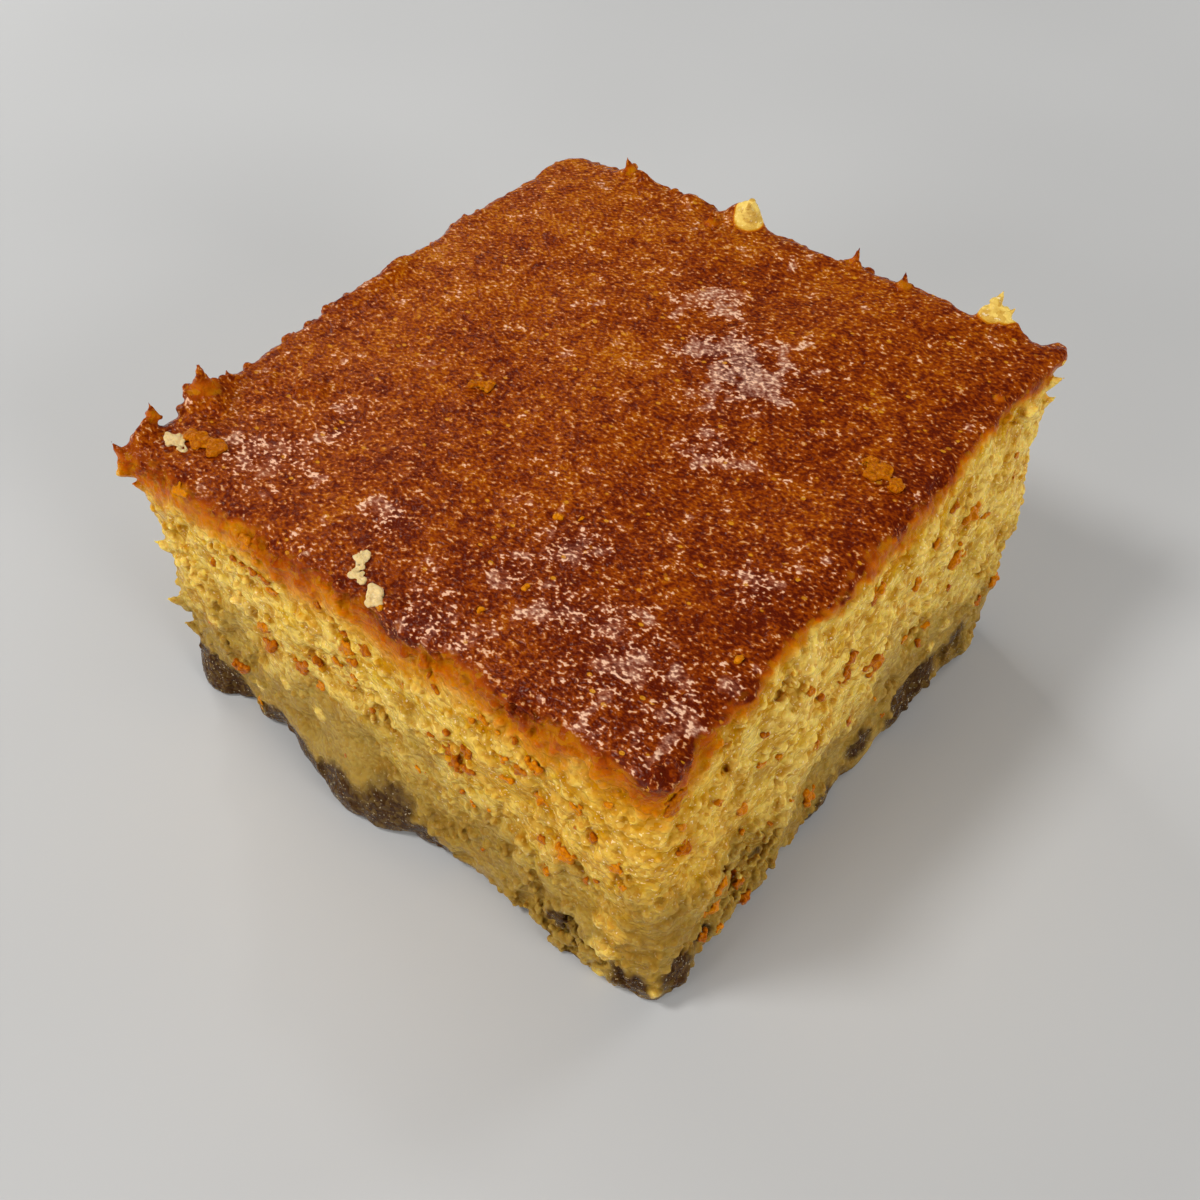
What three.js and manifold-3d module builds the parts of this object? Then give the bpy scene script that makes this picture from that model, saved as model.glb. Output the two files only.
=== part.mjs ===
// A square-cut piece of semolina cake, in millimetres, +Z up, with its origin in the middle of the underside.
// It is one moist, grainy piece: a browned crust, four cut sides that show the crumb, and a flat underside.
// The front side faces -Y, the right side faces +X, and both are modelled on the sides that show best.
import * as THREE from "three";
import { ImprovedNoise } from "three/addons/math/ImprovedNoise.js";
import { mergeVertices } from "three/addons/utils/BufferGeometryUtils.js";
import Module from "manifold-3d";

// Driving dimensions.
const WIDTH = 62; // along X
const DEPTH = 62; // along Y
const HEIGHT = 35.2; // mean height; the cake rises towards the back right corner
const TOP_EDGE_RADIUS = 1.3; // where the crust turns over into the cut side
const BASE_EDGE_RADIUS = 2.4;
const CORNER_RADIUS = 2.6; // the four upright corners
const CELL = 1.85; // spacing of the surface points
const TRIM = 1.2; // the block starts this far below the underside and is cut flat there

// The four corners, x and y as signs: how much the crust rises there, and how far crust and base lean out.
const CORNERS = [
  { x: -1, y: -1, rise: -3.0, crust: [-0.7, -1.0], base: [-1.0, 0.2] },
  { x: 1, y: -1, rise: -0.6, crust: [0.0, 0.2], base: [0.8, 0.8] },
  { x: 1, y: 1, rise: 2.7, crust: [-0.2, 0.1], base: [0.6, -1.2] },
  { x: -1, y: 1, rise: 0.6, crust: [0.3, 0.8], base: [0.0, -0.6] },
];

// Relief of the cut crumb: broad waves, lumps as large as a pea split in half, and grainy lumps.
// Each is a noise of its own, taken from its own stretch (field) of the noise.
const WAVES = { length: 17, height: 0.9, field: 5.3 };
const LUMPS = { length: 6.2, height: 2.1, field: 1.7 };
const GRAINS = { length: 3.4, height: 1.3, field: 8.9 };
const CRUST_WAVES = { length: 13, height: 0.45, field: 2.2 };
const CRUST_GRAINS = { length: 3.1, height: 0.22, field: 6.4 };
const FIELD_STEP = [1, 1.7, 3.1]; // how a field's number moves the noise along x, y and z
const NOISE_TURN = new THREE.Euler(0.6, 0.9, 0.4); // so that no side lies along the noise's own grid
const MEAN_FOLD = 0.27; // mean of the folded noise, so that lumps don't swell the block
const CRUST_SHARE = 0.86; // above this share of the height the crust holds the crumb together
const CRUST_HOLD = 0.55; // and this much of the relief is left at the top edge

// Places that stand out, or are torn in if out is negative: along the side from its middle, height, size.
const FRONT = [
  { along: -24, up: 2, size: 3.4, out: -1.0 }, // sunken base by the left corner
  { along: -14, up: 7, size: 3.0, out: 0.9 }, // crumb hanging over the base
  { along: -3, up: 3, size: 4.2, out: 1.4 }, // thick base
  { along: 26, up: 6, size: 2.2, out: 1.3 }, // pale clump by the near corner
  { along: 23, up: 13, size: 3.0, out: -1.0 },
  { along: 8, up: 12, size: 4.5, out: -0.7 },
  { along: -20, up: 20, size: 5.0, out: -0.6 },
  { along: 12, up: 24, size: 3.2, out: 0.6 },
];
const RIGHT = [
  { along: -9, up: 29, size: 1.9, out: 0.9 }, // ragged clumps with a torn hollow between them
  { along: -10, up: 26, size: 1.8, out: -1.6 },
  { along: -14, up: 26, size: 2.4, out: 1.1 },
  { along: -13, up: 11, size: 3.6, out: 1.5 }, // large clump
  { along: -3, up: 8, size: 4.4, out: -1.3 }, // torn out beside it
  { along: 12, up: 14, size: 4.0, out: -0.7 },
  { along: -24, up: 12, size: 2.6, out: 0.7 },
  { along: 22, up: 25, size: 4.0, out: -0.7 },
];
const BACK = [
  { along: -18, up: 9, size: 4.0, out: 1.1 },
  { along: -7, up: 22, size: 3.2, out: -1.2 },
  { along: 6, up: 12, size: 3.6, out: -1.1 },
  { along: 14, up: 26, size: 2.8, out: 0.9 },
  { along: 23, up: 5, size: 3.4, out: 1.0 },
];
const LEFT = [
  { along: -21, up: 24, size: 3.0, out: 0.8 },
  { along: -9, up: 8, size: 4.2, out: -1.2 },
  { along: 3, up: 20, size: 3.0, out: -1.1 },
  { along: 11, up: 5, size: 3.6, out: 1.2 },
  { along: 21, up: 15, size: 3.4, out: 0.9 },
];
// Each side: the way it faces, the way that "along" runs, and how far its middle bows out at crust and base.
const SIDES = [
  { face: [0, -1], run: [1, 0], half: WIDTH / 2, bow: { crust: 0, base: 0.5 }, relief: FRONT },
  { face: [1, 0], run: [0, 1], half: DEPTH / 2, bow: { crust: 0.3, base: -0.7 }, relief: RIGHT },
  { face: [0, 1], run: [-1, 0], half: WIDTH / 2, bow: { crust: 0.8, base: 0.4 }, relief: BACK },
  { face: [-1, 0], run: [0, -1], half: DEPTH / 2, bow: { crust: 1.6, base: 0.8 }, relief: LEFT },
];

// Torn bits that stand out: teeth of crust along the top edge (share 1 of the height) and clumps lower down.
const BITS = [
  { side: 3, along: 27.5, share: 1, thick: 1.1, tall: 1.9, lean: 0.3 },
  { side: 3, along: 21, share: 1, thick: 1.5, tall: 1.3, lean: 0.1 },
  { side: 3, along: -3, share: 1, thick: 1.4, tall: 1.2, lean: 0.2 },
  { side: 3, along: 29.5, share: 0.95, thick: 1.3, tall: 1.2, lean: 0.8 },
  { side: 2, along: 6.5, share: 1, thick: 1.2, tall: 2.2, lean: 0.1 },
  { side: 2, along: 12.5, share: 1, thick: 1.2, tall: 1.0, lean: 0.3 },
  { side: 2, along: 21, share: 1, thick: 1.2, tall: 1.3, lean: 0.2 },
  { side: 2, along: -23.5, share: 1, thick: 1.2, tall: 2.0, lean: 0.7 },
  { side: 1, along: 29.5, share: 0.97, thick: 1.3, tall: 1.3, lean: 0.6 },
  { side: 0, along: 28, share: 0.12, thick: 1.8, tall: 2.8, lean: -0.2 }, // drooping clump by the near corner
  { side: 0, along: 27, share: 0.22, thick: 1.8, tall: 2.2, lean: 0.1 },
  { side: 1, along: -28, share: 0.06, thick: 1.9, tall: 1.7, lean: 0.1 },
  { side: 1, along: -20, share: 0.12, thick: 1.7, tall: 1.9, lean: 0.2 },
  { side: 1, along: -14, share: 0.2, thick: 1.9, tall: 1.9, lean: 0.1 },
  { side: 0, along: -17, share: 0.14, thick: 2.0, tall: 1.5, lean: 0.1 },
];
const BIT_SUNK = 0.62; // share of a bit's thickness that its middle lies inside the cake
const BIT_BREADTH = 1.9; // how much broader a bit is along the side than it is thick
const TOOTH_DROP = 0.1; // share of its height that a tooth's middle lies below the crust's edge

// Crumbs stuck to the cut sides, and small pits torn into them.
const CRUMB_COUNT = 12;
const PIT_COUNT = 7;
const CRUMB_SIZE = [1.3, 2.3];
const PIT_SIZE = [1.2, 2.0];
const CRUMB_SUNK = 0.5; // share of a crumb's size that its middle lies inside the cake
const CRUMB_STRETCH = [0.7, 1.3];
const CRUMB_RANGE = [0.06, 0.9]; // the shares of the height between which crumbs and pits lie
const DENT = { length: 1.1, height: 0.8, field: 0.37 }; // roughness of a lump, as shares of its size
const SEED = 1845;
const DRAW = { factor: 1664525, step: 1013904223, range: 2 ** 32 }; // of the random generator
const MERGE_GAP = 1e-4; // points closer than this are one

const wasm = await Module();
wasm.setup();
const perlin = new ImprovedNoise();

const mix = THREE.MathUtils.lerp;
const clamp = THREE.MathUtils.clamp;

// Noise at a point, for one of the kinds of relief.
function noise(point, relief) {
  const turned = point.clone().applyEuler(NOISE_TURN).divideScalar(relief.length);
  return perlin.noise(...turned.toArray().map((value, axis) => value + relief.field * FIELD_STEP[axis]));
}

const waves = (point, relief) => relief.height * noise(point, relief);
const lumps = (point, relief) => relief.height * (Math.abs(noise(point, relief)) - MEAN_FOLD);

// A random generator that gives the same draws each time.
function makeRandom(seed) {
  let state = seed;
  return () => {
    state = (state * DRAW.factor + DRAW.step) % DRAW.range;
    return state / DRAW.range;
  };
}

// Bilinear value between the four corners, for a point given as shares -1 to 1 of half the width and depth.
function betweenCorners(u, v, value) {
  const weight = (c) => ((1 + c.x * u) * (1 + c.y * v)) / 4;
  return CORNERS.reduce((sum, c) => sum + weight(c) * value(c), 0);
}

// How far one of the four sides stands out at a point: its bow, its clumps and the places that are torn in.
function standsOut(side, point, share) {
  const along = point.x * side.run[0] + point.y * side.run[1];
  const bow = mix(side.bow.base, side.bow.crust, share) * (1 - (along / side.half) ** 2);
  const relief = (spot) => {
    const distance = Math.hypot(along - spot.along, point.z - spot.up) / spot.size;
    return spot.out * Math.exp(-(distance ** 4));
  };
  return side.relief.reduce((sum, spot) => sum + relief(spot), bow);
}

// Moves a point of the plain block to its place: rounds the edges, leans the sides, adds the relief.
function shapePoint(p) {
  const share = clamp(p.z / HEIGHT, 0, 1);
  const edge = p.z > HEIGHT / 2 ? TOP_EDGE_RADIUS : BASE_EDGE_RADIUS;
  const radii = new THREE.Vector3(CORNER_RADIUS, CORNER_RADIUS, edge);
  const core = new THREE.Vector3(
    clamp(p.x, CORNER_RADIUS - WIDTH / 2, WIDTH / 2 - CORNER_RADIUS),
    clamp(p.y, CORNER_RADIUS - DEPTH / 2, DEPTH / 2 - CORNER_RADIUS),
    clamp(p.z, BASE_EDGE_RADIUS - TRIM, HEIGHT - TOP_EDGE_RADIUS),
  );
  const out = p.clone().sub(core).divide(radii).normalize();
  const shaped = out.clone().multiply(radii).add(core);

  const u = (2 * shaped.x) / WIDTH;
  const v = (2 * shaped.y) / DEPTH;
  shaped.x += betweenCorners(u, v, (c) => mix(c.base[0], c.crust[0], share));
  shaped.y += betweenCorners(u, v, (c) => mix(c.base[1], c.crust[1], share));
  shaped.z *= 1 + (share * betweenCorners(u, v, (c) => c.rise)) / HEIGHT;

  const facing = Math.hypot(out.x, out.y); // 1 on a cut side, 0 on the crust and the underside
  const crumb = waves(shaped, WAVES) + lumps(shaped, LUMPS) + lumps(shaped, GRAINS);
  const crust = waves(shaped, CRUST_WAVES) + waves(shaped, CRUST_GRAINS);
  const turned = (side) => Math.max(0, out.x * side.face[0] + out.y * side.face[1]);
  const named = SIDES.reduce((sum, side) => sum + turned(side) * standsOut(side, shaped, share), 0);
  const calm = mix(1, CRUST_HOLD, clamp((share - CRUST_SHARE) / (1 - CRUST_SHARE), 0, 1));
  return shaped.addScaledVector(out, facing * (crumb * calm + named) + (1 - facing) * crust);
}

// A closed manifold solid of a three.js geometry.
function solidOf(geometry) {
  const bare = geometry.clone();
  bare.deleteAttribute("normal");
  bare.deleteAttribute("uv");
  const merged = mergeVertices(bare, MERGE_GAP);
  return new wasm.Manifold(
    new wasm.Mesh({
      numProp: 3,
      vertProperties: merged.attributes.position.array,
      triVerts: new Uint32Array(merged.index.array),
    }),
  );
}

// The cake without its crumbs: a finely divided box whose points are moved into place.
function makeBlock() {
  const count = (length) => Math.round(length / CELL);
  const box = new THREE.BoxGeometry(WIDTH, DEPTH, HEIGHT + TRIM, count(WIDTH), count(DEPTH), count(HEIGHT));
  box.translate(0, 0, (HEIGHT - TRIM) / 2);
  const position = box.attributes.position;
  const point = new THREE.Vector3();
  for (let i = 0; i < position.count; i++) {
    point.fromBufferAttribute(position, i);
    const shaped = shapePoint(point);
    position.setXYZ(i, shaped.x, shaped.y, shaped.z);
  }
  return solidOf(box);
}

// A rough lump of crumb: a coarse ball, dented by noise, stretched and turned. Its number picks the dents.
function makeLump(centre, size, stretch, turn, number) {
  const ball = new THREE.IcosahedronGeometry(1, 1);
  const position = ball.attributes.position;
  const point = new THREE.Vector3();
  for (let i = 0; i < position.count; i++) {
    point.fromBufferAttribute(position, i);
    const dent = 1 + waves(point, { ...DENT, field: DENT.field + number });
    point.multiplyScalar(size * dent).multiply(stretch).applyEuler(turn).add(centre);
    position.setXYZ(i, point.x, point.y, point.z);
  }
  return solidOf(ball);
}

// A place on a side's finished surface: along it, at a share of the height, and sunk in by some depth.
function placeOnSide(side, along, share, sunk) {
  const plain = new THREE.Vector3(
    (side.face[0] * WIDTH) / 2 + side.run[0] * along,
    (side.face[1] * DEPTH) / 2 + side.run[1] * along,
    share * HEIGHT,
  );
  return shapePoint(plain).addScaledVector(new THREE.Vector3(...side.face, 0), -sunk);
}

// One of the named bits: a lump that grows out of the surface, broad along the side and leaning outwards.
function makeBit(bit, index) {
  const side = SIDES[bit.side];
  const foot = placeOnSide(side, bit.along, bit.share, BIT_SUNK * bit.thick);
  if (bit.share === 1) foot.z -= TOOTH_DROP * bit.tall;
  const stretch = new THREE.Vector3(BIT_BREADTH, 1, bit.tall / bit.thick);
  const turn = new THREE.Euler(bit.lean, 0, Math.atan2(side.run[1], side.run[0]), "ZXY");
  return makeLump(foot, bit.thick, stretch, turn, BITS.length + index);
}

// Lumps scattered over the cut sides by a seeded draw; pits are the same lumps, cut away.
function scatterLumps(count, sizes, sunk, random) {
  const between = (range) => mix(range[0], range[1], random());
  const angle = () => 2 * Math.PI * random();
  return Array.from({ length: count }, (_, index) => {
    const side = SIDES[index % SIDES.length];
    const reach = side.half - CORNER_RADIUS;
    const size = between(sizes);
    const place = placeOnSide(side, between([-reach, reach]), between(CRUMB_RANGE), size * sunk);
    const stretch = new THREE.Vector3(1, between(CRUMB_STRETCH), between(CRUMB_STRETCH));
    return makeLump(place, size, stretch, new THREE.Euler(angle(), angle(), angle()), index);
  });
}

// Joins the crumbs and bits to the block, cuts the pits and the underside, and drops any loose scrap.
function makeSolid() {
  const random = makeRandom(SEED);
  const crumbs = scatterLumps(CRUMB_COUNT, CRUMB_SIZE, CRUMB_SUNK, random);
  const pits = scatterLumps(PIT_COUNT, PIT_SIZE, 0, random);
  const below = new THREE.BoxGeometry(2 * WIDTH, 2 * DEPTH, HEIGHT);
  below.translate(0, 0, -HEIGHT / 2);
  const joined = [...crumbs, ...BITS.map(makeBit)].reduce((body, piece) => body.add(piece), makeBlock());
  const cut = [...pits, solidOf(below)].reduce((body, piece) => body.subtract(piece), joined);
  return cut.decompose().reduce((a, b) => (a.volume() > b.volume() ? a : b));
}

// The finished surface, with its box centred over the origin.
function makeCake() {
  const mesh = makeSolid().getMesh();
  const geometry = new THREE.BufferGeometry();
  geometry.setAttribute("position", new THREE.BufferAttribute(new Float32Array(mesh.vertProperties), 3));
  geometry.setIndex(new THREE.BufferAttribute(new Uint32Array(mesh.triVerts), 1));
  geometry.computeBoundingBox();
  const middle = geometry.boundingBox.getCenter(new THREE.Vector3());
  geometry.translate(-middle.x, -middle.y, 0);
  geometry.computeVertexNormals();
  return geometry;
}

const crumbMaterial = new THREE.MeshStandardMaterial({ color: 0xcfa850, roughness: 0.55, metalness: 0 });
const cake = new THREE.Mesh(makeCake(), crumbMaterial);
cake.name = "semolina_cake";

const group = new THREE.Group();
group.add(cake);
export default group;
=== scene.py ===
"""Looks of a square-cut piece of semolina cake: browned crust, moist grainy crumb, crumbs stuck to it."""
import math
import random

import bmesh
import bpy
import numpy as np
from mathutils import Euler, Matrix, Vector, noise
from mathutils.bvhtree import BVHTree


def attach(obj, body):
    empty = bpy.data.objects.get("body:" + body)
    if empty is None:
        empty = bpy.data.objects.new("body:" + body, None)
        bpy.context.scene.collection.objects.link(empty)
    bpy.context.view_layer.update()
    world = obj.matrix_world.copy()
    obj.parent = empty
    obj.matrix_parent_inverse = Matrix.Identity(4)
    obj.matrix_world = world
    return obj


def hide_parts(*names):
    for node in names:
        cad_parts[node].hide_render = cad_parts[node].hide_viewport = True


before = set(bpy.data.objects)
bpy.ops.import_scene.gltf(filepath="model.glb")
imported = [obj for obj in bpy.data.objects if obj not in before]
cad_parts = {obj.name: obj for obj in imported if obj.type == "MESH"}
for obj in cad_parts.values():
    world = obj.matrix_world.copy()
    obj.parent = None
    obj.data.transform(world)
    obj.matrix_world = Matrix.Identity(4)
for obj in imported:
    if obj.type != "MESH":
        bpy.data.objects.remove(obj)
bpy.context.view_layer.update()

NODE = "semolina_cake"
SEED = 1845
MM = 0.001  # shapes are made in millimetres and brought to metres at the end
FAR = 100.0  # further than any point of the cake

# The camera, fitted to the outline of the cake in the photograph, whose frame is square.
FRAME_PIXELS = 1200
CAMERA_PLACE = Vector((62.64, -74.75, 114.95))
CAMERA_YAW, CAMERA_DOWN, CAMERA_ROLL = 39.62, 47.99, 0.38  # degrees
LENS, SENSOR = 40.46, 36.0
SEEN_FROM, SEEN_TO = 0.01, 20  # metres
CAKE_DISTANCES = range(90, 210, 2)  # from the camera to the cake, in steps of two millimetres

# The studio, in metres and watts. A light has a name, place, breadth and power, and is mirrored or not.
LIGHTS = [
    ("key", (-0.16, -0.24, 0.46), 0.12, 1.25, True),
    ("sheen", (-0.44, 0.22, 0.40), 0.06, 0.3, True),
    ("front_fill", (-0.10, -0.52, 0.20), 0.26, 1.5, False),
    ("right_fill", (0.52, -0.06, 0.24), 0.26, 1.65, False),
    ("back_fill", (0.14, 0.54, 0.16), 0.26, 1.5, False),
    ("left_fill", (-0.52, 0.10, 0.16), 0.26, 1.5, False),
]
LIT_PLACE = Vector((0, 0, 0.02))
ROOM_COLOUR, ROOM_LIGHT = (1.0, 0.97, 0.92), 0.11
FLOOR_REACH, FLOOR_ROUGHNESS, FLOOR_CLOUDS = 2, 0.8, 40  # the last in millimetres

# Steps of the making, in millimetres.
ROUGH_VOXEL = 0.4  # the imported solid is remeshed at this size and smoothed, which takes its facets away
SMOOTH_STEPS, SIDE_SMOOTH_STEPS = 14, 90
SMOOTH_BELOW_CRUST, SMOOTH_ABOVE_BASE = (0.8, 2.5), (0.5, 2.5)  # where the sides' own smoothing sets in
RELIEF_VOXEL = 0.24
UNION_VOXEL = 0.19
CRUST_REACH = 20  # how far from the middle the crust's slope is measured
CRUST_THICK = 1.3  # how deep the crust piece reaches
CRUMB_STARTS = 1.15  # how deep the crumb begins, just inside the crust piece
UNDERSIDE = 0.02  # height at which the underside is cut flat
HALVES = {"crumb_near": 45, "crumb_far": 225}  # degrees by which each half's box is turned
PIECE_TRIANGLES = 185_000
CALM_VOXEL, CALM_STEPS = 0.4, 6  # a surface without the grains, but with the clumps

# Patterns: size in millimetres and place in the noise. Heights are in millimetres too.
BEND_WAVES, BEND = (1.3, 4.1), 0.1  # how far the patterns are bent, so that their cells have uneven sides
CLUMPS, CLUMP_HEIGHT = (4.2, 3.3), 0.42
LUMPS, LUMP_HEIGHT, LUMP_STEP = (1.8, 12.9), 0.3, 0.12
GRAINS, GRAIN_HEIGHT = (0.7, 8.2), 0.22
TEARS, TEAR_DEPTH = (3.0, 7.7), 0.45
CRUST_WAVES, CRUST_WAVE_HEIGHT = (7.0, 5.6), 0.12
CRUST_LUMPS, CRUST_LUMP_HEIGHT = (1.3, 2.4), 0.06
CRUST_GRAINS, CRUST_GRAIN_HEIGHT = (0.6, 6.8), 0.13
MASK_WAVES = [(6.5, 1.7), (2.2, 9.1), (0.9, 4.9)]  # broad, middle and small
RAGGED_WAVES = [(1.0, 1.1, 2.3), (0.8, 0.5, 9.4), (0.4, 0.25, 3.8)]  # a share comes first
MEAN_SQUARE = 0.35  # of the distance to the nearest seed of a cell pattern
SEED_MIX, SEED_SPREAD = (12.9, 78.2, 37.7), 4375.8  # make a random share of a cell's seed
SIDE_FADE, TOP_FADE = (0.95, 0.75), (0.3, 0.8)  # how far up a surface faces with no relief, and with all
HOLLOW_DEPTH = 0.13  # of a hollow, as a share of its breadth

# Clumps: grain in millimetres. How far they rise and the size of their core are shares of their breadth.
PALE_CLUMP_GRAIN, PALE_CLUMP_RISE = 0.85, 0.75
TOOTH_GRAIN, TOOTH_RISE = 0.65, 0.5
CLUMP_CORE, CLUMP_FILL = 0.3, 0.9  # the fill is the grains for each square that is as broad as a grain
GRAIN_STRETCH, GRAIN_VARIES = (0.75, 1.25), (0.7, 1.3)
SPIKE_STEPS = (0, 0.25, 0.5, 0.75, 1)

# What is scattered at random over a cut side, in millimetres: how many, how far along, breadth and grain.
SIDE_REACH = 29.0
LOOSE_CLUMPS, LOOSE_BREADTH, LOOSE_GRAIN, LOOSE_RISE = 80, (1.2, 3.6), (0.7, 1.1), 0.32
CORNER_CLUMPS, CORNER_BREADTH, CORNER_GRAIN, CORNER_RISE = 34, (1.4, 3.2), (0.7, 1.0), 0.55
CORNER_REACH = {0: (17, 30.5), 1: (-17, -30.5)}  # of the front and right sides, next to the near corner
CORNER_TOP = 0.85  # of the side's height
LOOSE_GRAINS, GRAIN_REACH, GRAIN_SIZE, GRAIN_LIFT = 1500, 30, (0.26, 0.52), (-0.26, 0.06)
STEEP = 0.85  # loose grains stay off what faces up more than this
EDGE = 0.3  # how far out the cut sides are, as a share of FAR
CLEAR_OF_CRUST, CLEAR_OF_BASE = 0.3, 1  # what is scattered stays between the two
BITS_ON_HIDDEN_SIDE, BITS_ON_SEEN_SIDE = 36, 12

# Browning, in millimetres of depth.
EDGE_TURN = 0.9  # what turning over the crust's edge counts for
BROWNING_DEPTH = 10.0  # where it ends

# Places seen in the photograph: pixels across and down in its frame, and breadth in pixels.
CRUST_EDGE = [  # where the dark crust ends, from the left corner past the near one to the right one
    (124, 458), (165, 480), (205, 515), (240, 535), (290, 562), (327, 596), (382, 628), (424, 645),
    (455, 666), (480, 683), (540, 732), (563, 758), (618, 785), (643, 793), (669, 778), (718, 745),
    (735, 716), (760, 674), (784, 633), (828, 610), (843, 570), (862, 546), (896, 519), (921, 497),
    (950, 462), (985, 428), (1010, 407), (1040, 386),
]
BROWN_BITS = [
    (271, 645, 17), (303, 665, 17), (318, 662, 17), (365, 650, 11), (318, 606, 8), (428, 676, 7),
    (435, 689, 7), (372, 709, 9), (452, 751, 15), (456, 763, 16), (469, 769, 13), (468, 752, 14),
    (595, 838, 12), (541, 839, 10), (676, 797, 18), (672, 810, 15), (685, 846, 16), (586, 880, 7),
    (597, 880, 7), (763, 738, 10), (819, 698, 9), (848, 721, 9), (817, 743, 8), (844, 675, 15),
    (850, 661, 15), (867, 666, 13), (873, 600, 11), (918, 644, 7), (955, 505, 9), (976, 601, 10),
    (737, 884, 14), (743, 897, 16), (730, 877, 9), (447, 732, 5), (431, 735, 5), (515, 740, 6),
    (347, 755, 5), (462, 791, 5), (484, 849, 6), (770, 824, 6), (702, 937, 11), (235, 559, 8),
    (244, 565, 8), (254, 572, 8), (263, 578, 8),
]
ORANGE_BITS = [
    (266, 628, 15), (345, 647, 14), (337, 661, 10), (355, 676, 8), (352, 685, 7), (403, 685, 7),
    (262, 702, 9), (484, 719, 11), (469, 717, 7), (498, 733, 5), (505, 759, 11), (507, 778, 10),
    (533, 766, 16), (542, 800, 14), (609, 804, 9), (576, 808, 12), (566, 853, 19), (616, 867, 12),
    (548, 870, 12), (624, 888, 9), (681, 827, 11), (742, 806, 14), (720, 801, 9), (721, 885, 15),
    (705, 912, 12), (718, 928, 9), (761, 763, 8), (779, 756, 6), (879, 589, 14), (916, 583, 12),
    (903, 639, 9), (925, 624, 9), (971, 512, 20), (936, 546, 10), (994, 579, 14), (1016, 455, 6),
    (1013, 477, 6), (180, 491, 14), (273, 591, 10), (740, 835, 6), (792, 801, 6), (490, 810, 5),
]
PALE_CLUMPS = [
    (486, 757, 22), (322, 711, 18), (286, 682, 14), (261, 684, 13), (635, 857, 28), (649, 866, 12),
    (705, 814, 14), (611, 925, 38), (603, 948, 30), (602, 968, 22), (812, 650, 30), (806, 668, 30),
    (777, 785, 30), (779, 705, 24), (942, 624, 15), (690, 850, 22), (700, 780, 24), (560, 800, 20),
    (440, 730, 20), (240, 600, 22), (215, 620, 18), (929, 646, 12), (652, 994, 17), (740, 877, 10),
    (1029, 411, 26), (978, 491, 22), (933, 527, 20),
]
# Hollows in the crumb: they are dug in, and their amber colour is painted shade.
HOLLOWS = [
    (797, 684, 44), (651, 879, 20), (635, 912, 22), (676, 890, 12), (670, 912, 14), (389, 709, 14),
    (941, 519, 13), (711, 928, 13), (742, 770, 26), (905, 560, 22),
]
PALE_TEETH = [
    (750, 212, 20), (998, 303, 20), (1016, 312, 14), (123, 477, 16), (139, 488, 16), (158, 551, 24),
    (226, 374, 14), (168, 612, 26), (180, 632, 20),
]
ORANGE_TEETH = [
    (155, 409, 20), (119, 453, 18), (204, 389, 36), (630, 170, 16), (712, 224, 18), (855, 262, 20),
    (905, 278, 18), (1050, 382, 20), (1047, 404, 18), (999, 399, 14),
]
DEEP_BROWNING = [  # where the orange reaches far down
    (645, 790, 110), (300, 580, 90), (370, 630, 90), (440, 670, 90), (510, 715, 90), (900, 530, 50),
]
GOLDEN = [  # where the crumb stays golden
    (500, 780, 90), (550, 810, 130), (620, 850, 150), (660, 880, 150), (700, 850, 120), (640, 930, 90),
    (700, 800, 90),
]
SWELLS = [  # and mm outwards
    (345, 788, 120, 2.4), (235, 700, 70, 0.9), (748, 868, 90, -1.6), (562, 930, 80, -1.3),
]
# Where the base is dark: browned and wet, and darkened with painted shade.
DARK_BASE = [
    (222, 675, 70), (290, 730, 80), (320, 755, 95), (352, 775, 100), (388, 798, 80), (430, 835, 50),
    (560, 915, 44), (628, 980, 44), (676, 965, 50), (955, 635, 80), (925, 664, 84), (897, 693, 70),
    (862, 735, 44), (702, 932, 30), (395, 785, 90),
]
DOTS_ON_CRUST = [
    (557, 519, 9), (582, 519, 8), (525, 587, 7), (741, 659, 13), (379, 607, 9), (480, 610, 8),
]
ORANGE_FLAKES = [
    (473, 386, 17), (487, 388, 18), (190, 436, 20), (202, 443, 22), (216, 450, 22), (868, 463, 22),
    (878, 474, 24), (895, 488, 20),
]
PALE_FLAKES = [
    (363, 558, 21), (360, 566, 17), (357, 575, 17), (361, 581, 10), (375, 592, 16), (372, 599, 18),
    (379, 603, 10), (176, 441, 22), (182, 449, 14),
]
PAINTED_SHEEN_PLACES = [  # where a whitish painted sheen goes on the crust
    (745, 372, 90), (712, 352, 60), (778, 384, 50), (735, 300, 50),
]
PAINTED_GLINT_PLACES = [  # and where painted glints go on it
    (740, 370, 130), (700, 345, 60), (270, 455, 100), (340, 430, 50), (430, 620, 90), (470, 640, 60),
    (570, 545, 80), (610, 620, 90), (594, 732, 40), (635, 735, 50), (641, 761, 30), (700, 300, 60),
    (735, 690, 50), (510, 570, 60), (720, 450, 70), (760, 590, 60), (620, 665, 130), (560, 610, 80),
    (680, 710, 80), (390, 520, 60),
]

# Colours, as linear red, green and blue.
BROWNING = [  # from the crust down: the share of the browning's depth, and the colour there
    (0.00, (0.190, 0.026, 0.001)), (0.12, (0.280, 0.042, 0.001)), (0.24, (0.470, 0.100, 0.001)),
    (0.38, (0.610, 0.205, 0.001)), (0.54, (0.660, 0.335, 0.001)), (0.76, (0.665, 0.385, 0.010)),
    (1.00, (0.690, 0.432, 0.036)),
]
CRUST = [  # by its tone
    (0.00, (0.095, 0.008, 0.001)), (0.25, (0.165, 0.020, 0.001)), (0.50, (0.250, 0.038, 0.001)),
    (0.75, (0.340, 0.070, 0.001)), (1.00, (0.450, 0.130, 0.002)),
]
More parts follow.
